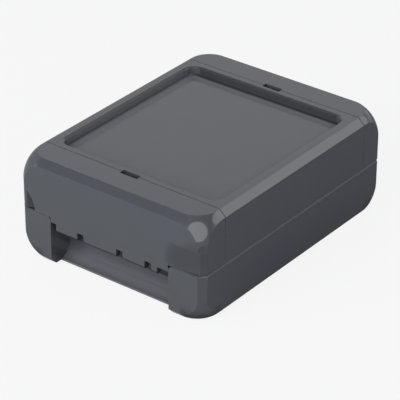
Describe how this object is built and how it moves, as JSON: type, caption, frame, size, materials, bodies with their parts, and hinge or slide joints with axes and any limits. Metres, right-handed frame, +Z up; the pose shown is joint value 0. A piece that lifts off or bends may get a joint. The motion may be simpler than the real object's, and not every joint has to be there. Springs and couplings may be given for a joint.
{
  "type": "hinged-flap plastic enclosure",
  "caption": "Low rectangular plastic enclosure with a recessed lid panel, chamfered and ball-cut corners, corner feet and a hinged flap over each end.",
  "frame": {"origin": "middle of the underside, on the surface that the enclosure lies on", "axes": "+Z up through the lid, Y along the length between the two flaps, X across the width"},
  "size_m": [0.08, 0.1046, 0.04],
  "materials": {
    "graphite_plastic": "satin moulded graphite grey",
    "seal_rubber": "matt black",
    "pin_steel": "drawn"
  },
  "bodies": {
    "housing": {"base": "graphite_plastic", "lid": "graphite_plastic", "lid_seal": "seal_rubber", "front_left_hinge_pin": "pin_steel", "front_right_hinge_pin": "pin_steel", "rear_left_hinge_pin": "pin_steel", "rear_right_hinge_pin": "pin_steel"},
    "front_cover": {"front_flap": "graphite_plastic"},
    "rear_cover": {"rear_flap": "graphite_plastic"}
  },
  "joints": [
    {"name": "front_flap_hinge", "type": "hinge", "parent": "housing", "child": "front_cover", "pos_m": [0, -0.0493, 0.0159], "axis": [1, 0, 0], "range_deg": [0, 95]},
    {"name": "rear_flap_hinge", "type": "hinge", "parent": "housing", "child": "rear_cover", "pos_m": [0, 0.0493, 0.0159], "axis": [-1, 0, 0], "range_deg": [0, 95]}
  ]
}
